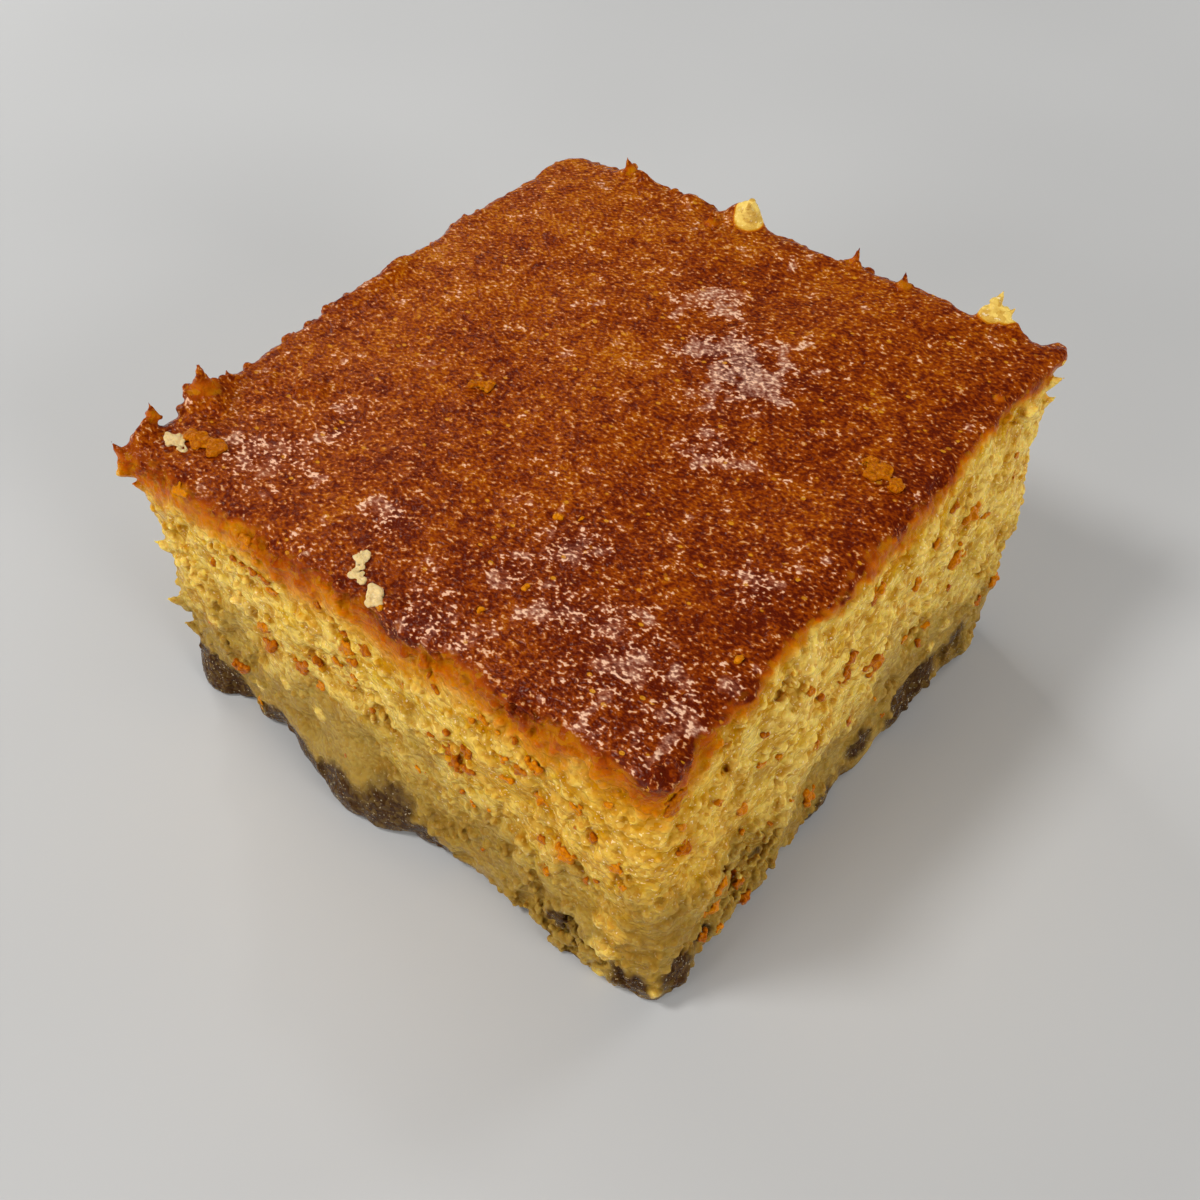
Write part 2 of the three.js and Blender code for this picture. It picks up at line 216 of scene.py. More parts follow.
# The crust's specks are painted glints and its haze a whitish painted sheen; its dots are its own colour.
CRUST_DOTS, PAINTED_CRUST_GLINTS, PAINTED_CRUST_SHEEN = (0.56, 0.22, 0.010), (0.90, 0.55, 0.36), (0.500, 0.290, 0.210)
# The crease colour is painted shade in the crumb's creases.
PALEST_CRUMB, PAINTED_CREASE_SHADE = (0.86, 0.615, 0.150), (0.450, 0.185, 0.001)
# Amber crumb: its own colour, and painted shade in the hollows.
AMBER_AND_HOLLOW_SHADE = (0.450, 0.178, 0.001)
# The low colour is painted shade on the lower crumb; the wet base is browned, and darkened further with
# painted shade.
STAIN, PAINTED_LOW_SHADE, WET_BASE_AND_SHADE = (0.600, 0.230, 0.001), (0.240, 0.138, 0.022), (0.050, 0.019, 0.005)
# The crumb's glints are painted highlights.
CRUST_FLECKS, PAINTED_CRUMB_GLINTS = (0.66, 0.32, 0.13), (0.95, 0.82, 0.52)
WARM_GLOSS, PLAIN_GLOSS = (1.0, 0.65, 0.25), (1.0, 0.9, 0.8)
GLOW_COLOUR, GLOW_DEPTH = (1.0, 0.75, 0.35), 0.0008  # how far light goes through what is moist, in metres
CAKE_BUMP, BIT_BUMP = (0.8, 0.00025), (0.7, 0.0002)  # strength, and depth in metres
BIT_GRAINS = 2.6  # per millimetre
BROWNED_BITS = (0.640, 0.215, 0.001), (0.330, 0.072, 0.001)
PALE_BITS = (0.760, 0.560, 0.270), (0.670, 0.450, 0.170)
FLOOR = (0.50, 0.50, 0.495), (0.53, 0.53, 0.525)

random_draw = random.Random(SEED)


# ---------------------------------------------------------------------------------- camera and light

def placed(name, data):
    """A new object in the scene."""
    thing = bpy.data.objects.new(name, data)
    bpy.context.scene.collection.objects.link(thing)
    return thing


def camera_turn():
    """The camera's rotation: it looks along its own -Z."""
    yaw, down, roll = (math.radians(a) for a in (CAMERA_YAW, CAMERA_DOWN, CAMERA_ROLL))
    return (Matrix.Rotation(yaw, 3, "Z") @ Matrix.Rotation(math.pi / 2 - down, 3, "X")
            @ Matrix.Rotation(roll, 3, "Z"))


def pixel_ray(across, down):
    """Direction from the camera through a pixel of the photograph, one millimetre deep."""
    half = FRAME_PIXELS / 2
    pixels_per_unit = FRAME_PIXELS * LENS / SENSOR
    right, up = (across - half) / pixels_per_unit, (half - down) / pixels_per_unit
    return camera_turn() @ Vector((right, up, -1))


def make_camera():
    data = bpy.data.cameras.new("camera")
    data.lens, data.sensor_width = LENS, SENSOR
    data.clip_start, data.clip_end = SEEN_FROM, SEEN_TO
    camera = placed("camera", data)
    camera.matrix_world = Matrix.Translation(CAMERA_PLACE * MM) @ camera_turn().to_4x4()
    bpy.context.scene.camera = camera


def softbox(name, place, breadth, watts, mirrored):
    """A soft area light, turned to the cake. A fill light isn't mirrored in what is moist."""
    data = bpy.data.lights.new(name, "AREA")
    data.shape, data.size, data.energy = "DISK", breadth, watts
    light = placed(name, data)
    light.location = place
    light.visible_glossy = mirrored
    light.rotation_euler = (LIT_PLACE - Vector(place)).to_track_quat("-Z", "Y").to_euler()


def make_lights():
    for light in LIGHTS:
        softbox(*light)
    world = bpy.data.worlds.new("studio")
    world.use_nodes = True
    world.node_tree.nodes["Background"].inputs["Color"].default_value = (*ROOM_COLOUR, 1)
    world.node_tree.nodes["Background"].inputs["Strength"].default_value = ROOM_LIGHT
    bpy.context.scene.world = world
    bpy.context.scene.view_settings.view_transform = "Standard"


# --------------------------------------------------------------------------------------- mesh helpers

def coordinates(mesh, normals=False):
    """The mesh's points, or their normals, as rows of an array."""
    values = np.empty(len(mesh.vertices) * 3, np.float32)
    (mesh.vertex_normals if normals else mesh.vertices).foreach_get("vector" if normals else "co", values)
    return values.reshape(-1, 3).astype(float)


def move_points(mesh, places):
    mesh.vertices.foreach_set("co", places.astype(np.float32).ravel())
    mesh.update()


def from_bmesh(shape, name):
    made = bpy.data.meshes.new(name)
    shape.to_mesh(made)
    shape.free()
    return made


def modified(mesh, kind, **settings):
    """The mesh after one modifier."""
    thing = placed("work", mesh)
    modifier = thing.modifiers.new("step", kind)
    for name, value in settings.items():
        setattr(modifier, name, value)
    graph = bpy.context.evaluated_depsgraph_get()
    made = bpy.data.meshes.new_from_object(thing.evaluated_get(graph))
    bpy.data.objects.remove(thing)
    return made


def smoothed(mesh, weights, steps):
    """Moves each point towards the middle of its neighbours, as far as its weight says, in many steps."""
    points = coordinates(mesh)
    ends = np.empty(2 * len(mesh.edges), np.int32)
    mesh.edges.foreach_get("vertices", ends)
    first, second = np.r_[ends[0::2], ends[1::2]], np.r_[ends[1::2], ends[0::2]]
    share = 0.5 * weights / np.bincount(first, minlength=len(points))
    for _ in range(steps):
        for axis in range(3):
            line = points[:, axis]
            line += share * np.bincount(first, line[second] - line[first], len(points))
    move_points(mesh, points)


def voxel_mesh(mesh, size):
    return modified(mesh, "REMESH", mode="VOXEL", voxel_size=size, adaptivity=0.0)


def decimated(mesh, triangles):
    mesh.calc_loop_triangles()
    share = triangles / len(mesh.loop_triangles)
    return mesh if share >= 1 else modified(mesh, "DECIMATE", ratio=share)


def tree_of(mesh):
    mesh.calc_loop_triangles()
    corners = [tuple(t.vertices) for t in mesh.loop_triangles]
    return BVHTree.FromPolygons(coordinates(mesh).tolist(), corners)


def joined(*meshes):
    """One mesh of several."""
    shape = bmesh.new()
    for mesh in meshes:
        shape.from_mesh(mesh)
    return from_bmesh(shape, "joined")


def copies(template, places):
    """One mesh with a copy of the template at each place, given as a 4 x 4 matrix."""
    points = np.c_[coordinates(template), np.ones(len(template.vertices))]
    faces = np.array([tuple(p.vertices) for p in template.polygons])
    moved = np.concatenate([(points @ np.array(m).T)[:, :3] for m in places])
    corners = np.concatenate([faces + i * len(points) for i in range(len(places))])
    made = bpy.data.meshes.new("copies")
    made.from_pydata(moved.tolist(), [], corners.tolist())
    return made


def ball(subdivisions):
    shape = bmesh.new()
    bmesh.ops.create_icosphere(shape, subdivisions=subdivisions, radius=1)
    return from_bmesh(shape, "ball")


def kept_inside(mesh, box):
    """What of the mesh is inside the box."""
    cutter = placed("cutter", box)
    made = modified(mesh, "BOOLEAN", operation="INTERSECT", solver="MANIFOLD", object=cutter)
    bpy.data.objects.remove(cutter)
    return made


def off_surface(tree, points):
    """For each point, the closest place on a surface, how far out of it the point is, and how far the
    surface faces up there."""
    places, out, up = [], [], []
    for point in points.tolist():
        place, normal, _, _ = tree.find_nearest(point)
        places.append(place[:])
        out.append((Vector(point) - place).dot(normal))
        up.append(normal.z)
    return np.array(places), np.array(out), np.array(up)


def set_attributes(mesh, **values):
    for name, numbers in values.items():
        layer = mesh.attributes.new(name, "FLOAT", "POINT")
        layer.data.foreach_set("value", np.asarray(numbers, np.float32))


def smoothstep(low, high, value):
    """0 up to low and 1 from high on, smooth between them. Low may be the higher number."""
    share = np.clip((value - low) / (high - low), 0, 1)
    return share * share * (3 - 2 * share)


# ------------------------------------------------------------------------------------ noise on points

def waves(points, size, field):
    """Smooth noise, about -1 to 1, at each point."""
    return np.array([noise.noise(p) for p in (points / size + field).tolist()])


def shifts(points, size, field):
    """Smooth noise with a direction, at each point."""
    return np.array([noise.noise_vector(p)[:] for p in (points / size + field).tolist()])


def cells(points, size, field):
    """Rounded grains with creases between them, 0 on the mean, and a random share for each grain."""
    nearest, seeds = [], []
    for point in (points / size + field).tolist():
        distances, found = noise.voronoi(point)
        nearest.append(distances[0])
        seeds.append(found[0][:])
    shade = np.sin(np.array(seeds) @ SEED_MIX) * SEED_SPREAD
    return MEAN_SQUARE - np.array(nearest) ** 2, shade - np.floor(shade)


# ------------------------------------------------------------------------------------ the cake's form

def packed_solid():
    """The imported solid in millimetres, with its loose triangles merged."""
    shape = bmesh.new()
    shape.from_mesh(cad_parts[NODE].data)
    bmesh.ops.remove_doubles(shape, verts=shape.verts, dist=1e-7)
    bmesh.ops.scale(shape, vec=(1 / MM,) * 3, verts=shape.verts)
    return from_bmesh(shape, "packed")


class Form:
    """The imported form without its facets, and the places on it."""

    def __init__(self):
        rough = voxel_mesh(packed_solid(), ROUGH_VOXEL)
        self.mesh = modified(rough, "SMOOTH", factor=0.5, iterations=SMOOTH_STEPS)
        self.tree = tree_of(self.mesh)
        self.crust = self.fit_crust()
        points = coordinates(self.mesh)
        on_side = smoothstep(*SMOOTH_BELOW_CRUST, self.below_crust(points))
        smoothed(self.mesh, on_side * smoothstep(*SMOOTH_ABOVE_BASE, points[:, 2]), SIDE_SMOOTH_STEPS)
        self.tree = tree_of(self.mesh)
        self.edge = [self.on_crust_plane(*pixel) for pixel in CRUST_EDGE]

    def fit_crust(self):
        """Height of the crust over the middle, and its slopes along x and y."""
        reach = CRUST_REACH
        top = {}
        for x, y in ((reach, 0), (-reach, 0), (0, reach), (0, -reach)):
            top[x, y] = self.tree.ray_cast(Vector((x, y, FAR)), Vector((0, 0, -1)))[0].z
        slope_x = (top[reach, 0] - top[-reach, 0]) / (2 * reach)
        slope_y = (top[0, reach] - top[0, -reach]) / (2 * reach)
        return sum(top.values()) / 4, slope_x, slope_y

    def on_crust_plane(self, across, down):
        """Where the crust is that the camera sees at a pixel, from above."""
        height, slope_x, slope_y = self.crust
        upright = Vector((-slope_x, -slope_y, 1))
        ray = pixel_ray(across, down)
        deep = (height - upright.dot(CAMERA_PLACE)) / upright.dot(ray)
        return (CAMERA_PLACE + ray * deep).xy

    def below_crust(self, points):
        height, slope_x, slope_y = self.crust
        return height + slope_x * points[:, 0] + slope_y * points[:, 1] - points[:, 2]

    def past_crust(self, points):
        """How far each point is outside the crust's edge on the two sides that show, seen from above."""
        first, last = self.edge[0], self.edge[-1]
        ring = [*self.edge, Vector((last.x, FAR)), Vector((-FAR, FAR)), Vector((-FAR, first.y))]
        x, y = points[:, 0], points[:, 1]
        inside = np.zeros(len(points), bool)
        away = np.full(len(points), FAR)
        for number, (a, b) in enumerate(zip(ring, ring[1:] + ring[:1])):
            if (a.y > b.y) != (b.y > a.y) and a.y != b.y:
                crosses = (a.y > y) != (b.y > y)
                inside ^= crosses & (x < a.x + (y - a.y) * (b.x - a.x) / (b.y - a.y))
            if number < len(self.edge) - 1:
                along = ((x - a.x) * (b.x - a.x) + (y - a.y) * (b.y - a.y)) / (b - a).length_squared
                along = np.clip(along, 0, 1)
                off_x = x - a.x - along * (b.x - a.x)
                off_y = y - a.y - along * (b.y - a.y)
                away = np.minimum(away, np.hypot(off_x, off_y))
        return np.where(inside, -away, away)

    def seen_at(self, across, down, breadth, tree=None):
        """Place, normal and breadth in millimetres of what the camera sees at a pixel."""
        ray = pixel_ray(across, down)
        place, _, _, _ = (tree or self.tree).ray_cast(CAMERA_PLACE, ray)
        if place is None:  # just past the outline: what comes closest to the ray
            found = [self.tree.find_nearest(CAMERA_PLACE + ray * deep) for deep in CAKE_DISTANCES]
            place = min(found, key=lambda hit: hit[3])[0]
        _, normal, _, _ = self.tree.find_nearest(place)
        away = (place - CAMERA_PLACE).dot(camera_turn() @ Vector((0, 0, -1)))
        return place, normal, breadth * away * SENSOR / (LENS * FRAME_PIXELS)

    def on_side(self, side, along, share, tree=None):
        """Place and normal on one of the four cut sides: 0 front, 1 right, 2 back, 3 left. The share is
        of the height between just above the base and just below the crust."""
        height, slope_x, slope_y = self.crust
        turn = Matrix.Rotation(side * math.pi / 2, 3, "Z")
        out = turn @ Vector((along, -FAR, 0))
        top = height + slope_x * EDGE * out.x + slope_y * EDGE * out.y - CLEAR_OF_CRUST
        out.z = CLEAR_OF_BASE + (top - CLEAR_OF_BASE) * share
        place, _, _, _ = (tree or self.tree).ray_cast(out, turn @ Vector((0, 1, 0)))
        return (None, None) if place is None else (place, self.tree.find_nearest(place)[1])


# ------------------------------------------------------------------------------------ the cake's body

def crumb_pattern(points):
    """The crumb's pattern at points of the smooth form: its clumps, lumps and grains, the shades of the
    lumps and grains, and where it is torn."""
    bent = points + BEND * shifts(points, *BEND_WAVES)
    clumps, _ = cells(bent, *CLUMPS)
    lumps, lump_shade = cells(bent, *LUMPS)
    grains, grain_shade = cells(bent, *GRAINS)
    torn = smoothstep(0.2, 0.45, waves(bent, *TEARS))
    return clumps, lumps, lump_shade, grains, grain_shade, torn


def side_heights(form, points):
    """How far the crumb stands out or is torn in. It is calmer near the crust and near the base."""
    clumps, lumps, lump_shade, grains, _, torn = crumb_pattern(points)
    calm = 0.8 + 0.2 * smoothstep(0.2, 2.5, form.below_crust(points))
    calm *= 0.7 + 0.3 * smoothstep(0.5, 3.5, points[:, 2])
    lumps = LUMP_HEIGHT * lumps + LUMP_STEP * (lump_shade - 0.5)
    rough = CLUMP_HEIGHT * clumps + lumps * (1 - 0.5 * torn) + GRAIN_HEIGHT * grains - TEAR_DEPTH * torn
    return calm * rough


def crust_heights(points):
    """Fine grain of the crust, on broad waves."""
    return (CRUST_WAVE_HEIGHT * waves(points, *CRUST_WAVES)
            + CRUST_LUMP_HEIGHT * cells(points, *CRUST_LUMPS)[0]
            + CRUST_GRAIN_HEIGHT * cells(points, *CRUST_GRAINS)[0])


def add_relief(form, mesh):
    """Moves each point in or out: the crumb's pattern on the sides, fine grain on the crust, and the
    hollows and swells that the photograph shows."""
    points, normals = coordinates(mesh), coordinates(mesh, normals=True)
    up = normals[:, 2]
    heights = np.zeros(len(points))
    side = np.flatnonzero(np.abs(up) < SIDE_FADE[0])
    heights[side] = side_heights(form, points[side]) * smoothstep(*SIDE_FADE, np.abs(up[side]))
    top = np.flatnonzero(up > TOP_FADE[0])
    heights[top] += crust_heights(points[top]) * smoothstep(*TOP_FADE, up[top])
    for spot in HOLLOWS:
        place, _, size = form.seen_at(*spot)
        away = np.linalg.norm(points - place, axis=1) / (0.5 * size)
        heights -= HOLLOW_DEPTH * size * np.exp(-away ** 3)
    for across, down, breadth, rise in SWELLS:
        place, _, size = form.seen_at(across, down, breadth)
        away = np.linalg.norm(points - place, axis=1) / (0.5 * size)
        heights += rise * np.exp(-away ** 2) * smoothstep(0.7, 0.3, np.abs(up))
    move_points(mesh, points + normals * heights[:, None])


def grain_matrix(place, size, flat=1.0, normal=Vector((0, 0, 1))):
    """A place for one grain, turned and stretched at random, and flattened along a normal."""
    stretch = Matrix.Diagonal([size * random_draw.uniform(*GRAIN_STRETCH) for _ in range(3)]).to_4x4()
    turn = Euler([random_draw.uniform(0, math.tau) for _ in range(3)]).to_matrix().to_4x4()
    return Matrix.Translation(place) @ Matrix.Scale(flat, 4, normal) @ turn @ stretch


def cluster(place, normal, breadth, grain, rise, sunk=0.2):
    """Places of the grains of one clump: a heap, as broad as named, that lies on the surface and is sunk
    into it by a share of a grain."""
    side = normal.orthogonal().normalized()
    other = normal.cross(side)
    places = [grain_matrix(place + normal * rise * 0.1 * breadth, CLUMP_CORE * breadth, rise, normal)]
    for _ in range(max(3, round(CLUMP_FILL * (breadth / grain) ** 2))):
        angle, reach = random_draw.uniform(0, math.tau), 0.5 * math.sqrt(random_draw.random())
        lift = rise * breadth * 0.5 * (1 - 4 * reach ** 2) * random_draw.uniform(0.2, 1)
        centre = place + (side * math.cos(angle) + other * math.sin(angle)) * reach * breadth
        centre = centre + normal * (lift - sunk * grain)
        places.append(grain_matrix(centre, 0.5 * grain * random_draw.uniform(*GRAIN_VARIES)))
    return places


def spike(place, normal, size):
    """Places of the grains of a torn, pointed crumb that stands half upright: smaller to its tip."""
    way = (normal + Vector((0, 0, 1))).normalized()
    return [grain_matrix(place + way * size * (0.9 * step - 0.1), size * (0.34 - 0.26 * step))
            for step in SPIKE_STEPS]


def scattered_clumps(form, side, count, along, top, breadths, grains, rise):
    """Places of the grains of clumps at random on one side, up to a share of its height."""
    places = []
    for _ in range(count):
        place, normal = form.on_side(side, random_draw.uniform(*along), top * random_draw.random())
        breadth, grain = random_draw.uniform(*breadths), random_draw.uniform(*grains)
        if place is not None:
            places += cluster(place, normal, breadth, grain, rise)
    return places


def scattered_grains(form, side):
    """Places of single grains at random on one side."""
    places = []
    for _ in range(LOOSE_GRAINS):
        along, share = random_draw.uniform(-GRAIN_REACH, GRAIN_REACH), random_draw.random()
        place, normal = form.on_side(side, along, share)
        size, lift = random_draw.uniform(*GRAIN_SIZE), random_draw.uniform(*GRAIN_LIFT)
        if place is not None and normal.z < STEEP:
            places.append(grain_matrix(place + normal * lift, size))
    return places


def crumb_clumps(form):
    """Clumps and single grains that stand out of the cut sides, and the crumbs that stand at the crust's
    edge."""
    places = []
    for spot in PALE_CLUMPS:
        places += cluster(*form.seen_at(*spot), PALE_CLUMP_GRAIN, PALE_CLUMP_RISE)
    for spot in PALE_TEETH + ORANGE_TEETH:
        places += cluster(*form.seen_at(*spot), TOOTH_GRAIN, TOOTH_RISE) + spike(*form.seen_at(*spot))
    for side in range(4):
        places += scattered_clumps(form, side, LOOSE_CLUMPS, (-SIDE_REACH, SIDE_REACH), 1, LOOSE_BREADTH,
                                   LOOSE_GRAIN, LOOSE_RISE)
        if side in CORNER_REACH:
            places += scattered_clumps(form, side, CORNER_CLUMPS, CORNER_REACH[side], CORNER_TOP,
                                       CORNER_BREADTH, CORNER_GRAIN, CORNER_RISE)
        places += scattered_grains(form, side)
    return copies(ball(2), places)


def box_between(low, high):
    """A wide box; its underside and top are given as functions of x and y."""
    shape = bmesh.new()
    bmesh.ops.create_cube(shape, size=2)
    for vertex in shape.verts:
        x, y = FAR * vertex.co.x, FAR * vertex.co.y
        vertex.co = (x, y, (high if vertex.co.z > 0 else low)(x, y))
    return from_bmesh(shape, "box")


def half_box(turn):
    """A box over half of the cake, on one side of the upright plane through its left and right
    corners."""
    shape = bmesh.new()
    bmesh.ops.create_cube(shape, size=2 * FAR)
    bmesh.ops.translate(shape, vec=(0, -FAR, 0), verts=shape.verts)
    turning = Matrix.Rotation(math.radians(turn), 3, "Z")
    bmesh.ops.rotate(shape, cent=(0, 0, 0), matrix=turning, verts=shape.verts)
    return from_bmesh(shape, "half")


def finished(mesh, name, material):
    """Brings a mesh to metres and makes it a piece of the cake."""
    mesh.transform(Matrix.Scale(MM, 4))
    mesh.materials.clear()
    mesh.materials.append(material)
    mesh.shade_smooth()
    mesh.update()
    mesh.name = name
    piece = placed(name, mesh)
    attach(piece, "root")
    return piece


# ---------------------------------------------------------------------------------- masks of the body

class Skin:
    """What the masks of one piece of the body come from, at each of its points."""

    def __init__(self, form, calm_tree, mesh):
        self.form, self.points = form, coordinates(mesh)
        self.x, self.y, self.z = self.points.T
        ground, self.raised, self.up = off_surface(form.tree, self.points)
        # how far each point lies below the calm surface: the crease mask turns this into painted shade
        self.crease = off_surface(calm_tree, self.points)[1]
        _, _, self.lump_shade, _, self.grain_shade, self.torn = crumb_pattern(ground)
        self.waves = [waves(self.points, *kind) for kind in MASK_WAVES]
        self.below, self.past = form.below_crust(self.points), form.past_crust(self.points)
        self.pale_clumps = smoothstep(0, 0.4, self.near(PALE_CLUMPS, 1.35))
        self.orange_teeth = smoothstep(0, 0.5, self.near(ORANGE_TEETH, 1.2))
        self.pale_teeth = smoothstep(0, 0.3, self.near(PALE_TEETH, 2.2))
        self.pale_teeth *= smoothstep(-0.2, 0.4, -self.below)  # only what is above the crust
        self.golden = smoothstep(0, 0.6, self.wavy(self.near(GOLDEN, 2.0), middle=0.15))

    def near(self, spots, reach):
        """How near each point is to the closest of the places: 1 in its middle, and 0 at the edge of a
        ball round it that is as broad as the place times the reach."""
        share = np.zeros(len(self.points))
        for spot in spots:
            place, _, breadth = self.form.seen_at(*spot)
            away = np.linalg.norm(self.points - np.array(place), axis=1) / (0.5 * breadth * reach)
            share = np.maximum(share, np.clip(1 - away, 0, 1))
        return share

    def wavy(self, value, broad=0.0, middle=0.0, small=0.0):
        """The value, with shares of the broad, middle and small waves added to it."""
        for share, wave in zip((broad, middle, small), self.waves):
            value = value + share * wave
        return value


def browning_mask(skin):
    """Millimetres from the crust. They count less where the orange reaches far down and more on the right
    side, and stay few where the crumb is golden. Teeth have a browning of their own."""
    turned = EDGE_TURN * (1 - np.clip(skin.up, 0, 1))
    depth = np.maximum(skin.below, 0) + turned + np.maximum(skin.past, 0)
    ragged = skin.wavy(0, broad=2.4, middle=1.6, small=1.2) * smoothstep(0, 1.8, depth)
    reaches_down = 1 - 0.45 * skin.near(DEEP_BROWNING, 2.4)
    right_side = 1 + 0.6 * smoothstep(24, 29, skin.x) * smoothstep(-30, -15, skin.y)
    browned = (depth + ragged) * reaches_down * right_side
    browned = np.minimum(browned, BROWNING_DEPTH * (1 - 0.4 * skin.golden))
    return np.maximum(browned, 2.2 * skin.orange_teeth + 7 * skin.pale_teeth)


def tone_mask(skin):
    """How light the crust is: darker along its edge and towards the right corner."""
    edge = smoothstep(5, 0, -skin.past)
    return skin.wavy(0.5, broad=0.22, middle=0.3, small=0.3) - 0.09 * edge + 0.0035 * (skin.y - skin.x)


def pale_mask(skin):
    """Pale crumb: the clumps and teeth that the photograph shows, some of the lumps and grains, patches,
    and what stands out; less of it where the crumb is golden."""
    some = smoothstep(0.6, 0.72, skin.wavy(skin.lump_shade, broad=0.3))
    not_sunk = smoothstep(-0.4, 0.1, skin.raised)
    patches = smoothstep(0.15, 0.45, skin.wavy(0, middle=1, small=0.4))
    grains = smoothstep(0.7, 0.8, skin.grain_shade)
    pale = np.maximum.reduce([skin.pale_clumps, skin.pale_teeth, 0.8 * some * not_sunk, 0.7 * patches,
                              smoothstep(0.15, 0.45, skin.raised), 0.6 * grains])
    return pale * (1 - 0.45 * skin.golden)


def amber_mask(skin, pale):
    """Amber crumb: some of the lumps and grains, and patches, more where it is golden. In hollows, tears
    and what is sunk it is painted shade.
    """
    # what is sunk, torn or hollow gets amber as painted shade
    sunk = smoothstep(-0.1, -0.5, skin.wavy(skin.raised, small=0.3))
    hollows = smoothstep(0, 0.5, skin.near(HOLLOWS, 1.1))
    lumps = smoothstep(0.34, 0.22, skin.wavy(skin.lump_shade, middle=0.2))
    patches = smoothstep(-0.2, -0.5, skin.wavy(0, middle=1, small=0.4))
    golden = skin.golden * smoothstep(0.2, -0.2, skin.wavy(0, middle=1))
    amber = np.maximum.reduce([sunk, 0.9 * skin.torn, hollows, 0.8 * lumps, 0.7 * patches, 0.55 * golden])
    return np.maximum(amber * (1 - pale), 0.4 * smoothstep(0.25, 0.15, skin.grain_shade))


def painted_low_shade_mask(skin):
    """Painted shade: the crumb darker in the lower half, but not its pale clumps."""
    return smoothstep(23, 7, skin.wavy(skin.z, broad=7, middle=3)) * (1 - 0.8 * skin.pale_clumps)


def wet_base_and_shade_mask(skin):
    """The wet base, browned and darkened with painted shade: the underside, the places in the photograph,
    and patches on the hidden sides.
    """
    hidden = smoothstep(24, 29, np.maximum(-skin.x, skin.y))
    wet = 6.5 * skin.near(DARK_BASE, 1.5) + 1.5 + 1.8 * hidden - 0.6 * skin.z
    wet += skin.wavy(0, broad=2.4, middle=1, small=0.8)
    return np.maximum(smoothstep(0.3, 2.6, wet), smoothstep(-0.3, -0.8, skin.up))


def haze_mask(skin):
    """Where painted glints go on the crust, and up to 1 where a whitish painted sheen goes too."""
    painted_sparkle = smoothstep(0.1, 0.9, skin.wavy(skin.near(PAINTED_GLINT_PLACES, 1.7), middle=0.6, small=0.5))
    cloudy = smoothstep(0.1, 0.7, skin.wavy(skin.near(PAINTED_SHEEN_PLACES, 1.6), middle=0.7, small=0.5))
    return 0.6 * painted_sparkle + 0.4 * cloudy


def mark_body(form, calm_tree, mesh):
    """Writes the masks that the material reads. All but the browning and the tone go from 0 to 1."""
    skin = Skin(form, calm_tree, mesh)
    pale = pale_mask(skin)
    near_bits = skin.near(BROWN_BITS + ORANGE_BITS, 2.6)
    # The amber, crease, low and dark masks paint shade, wholly or in part, and the glint and sheen mask
    # paints glints and sheen on the crust.
    set_attributes(
        mesh, browning=browning_mask(skin) / BROWNING_DEPTH, tone=tone_mask(skin), pale=pale,
        amber=amber_mask(skin, pale), crease=smoothstep(0, -0.2, skin.crease), low=painted_low_shade_mask(skin),
        dark=wet_base_and_shade_mask(skin), stain=smoothstep(0.15, 0.7, skin.wavy(near_bits, small=0.35)),
        haze=haze_mask(skin), moist=smoothstep(0, 0.35, skin.wavy(0, middle=1, small=0.5)))


def make_body(form, materials):
    """The crust and the two halves of the crumb. Gives the whole surface, to lay crumbs on."""
    relief = voxel_mesh(form.mesh, RELIEF_VOXEL)
    add_relief(form, relief)
    whole = voxel_mesh(joined(relief, crumb_clumps(form)), UNION_VOXEL)
    calm = modified(voxel_mesh(whole, CALM_VOXEL), "SMOOTH", factor=0.5, iterations=CALM_STEPS)
    calm_tree = tree_of(calm)
    height, slope_x, slope_y = form.crust

    def below(depth):
        return lambda x, y: height + slope_x * x + slope_y * y - depth

    crumb = kept_inside(whole, box_between(lambda x, y: UNDERSIDE, below(CRUMB_STARTS)))
    parts = {"crust": kept_inside(whole, box_between(below(CRUST_THICK), below(-FAR)))}
    parts.update((name, kept_inside(crumb, half_box(turn))) for name, turn in HALVES.items())
    for name, mesh in parts.items():
        mesh = decimated(mesh, PIECE_TRIANGLES)
        mark_body(form, calm_tree, mesh)
        piece = finished(mesh, name, materials[name])
        if name in HALVES:
            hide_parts(NODE)
    return calm_tree


# -------------------------------------------------------------------------------------- loose crumbs

def heap_of_grains(place, normal, size):
    """A crumb that sticks to the cake: grains grown together."""
    return cluster(place, normal, 1.35 * size, min(0.7, max(0.4, 0.4 * size)), rise=0.46, sunk=0.12)


def flat_flake(place, normal, size):
    """A thin crumb that lies on the crust."""
    return [grain_matrix(place + normal * 0.12 * size, 0.48 * size, 0.34, normal)]


def make_bits(name, spots, form_of, material, triangles, voxel, raggedness):
    """Crumbs with ragged edges. Each spot is a place, a normal, a breadth and a tint."""
    mesh = copies(ball(3), [grain for spot in spots for grain in form_of(*spot[:3])])
    points, normals = coordinates(mesh), coordinates(mesh, normals=True)
    rough = sum(share * waves(points, size, field) for share, size, field in RAGGED_WAVES)
    move_points(mesh, points + normals * raggedness * rough[:, None])
    mesh = decimated(voxel_mesh(mesh, voxel), triangles)
    centres = np.array([place for place, _, _, _ in spots])
    tints = np.array([tint for _, _, _, tint in spots])
    closest = [int(np.argmin(((centres - point) ** 2).sum(1))) for point in coordinates(mesh)]
    set_attributes(mesh, tint=tints[closest])
    return finished(mesh, name, material)


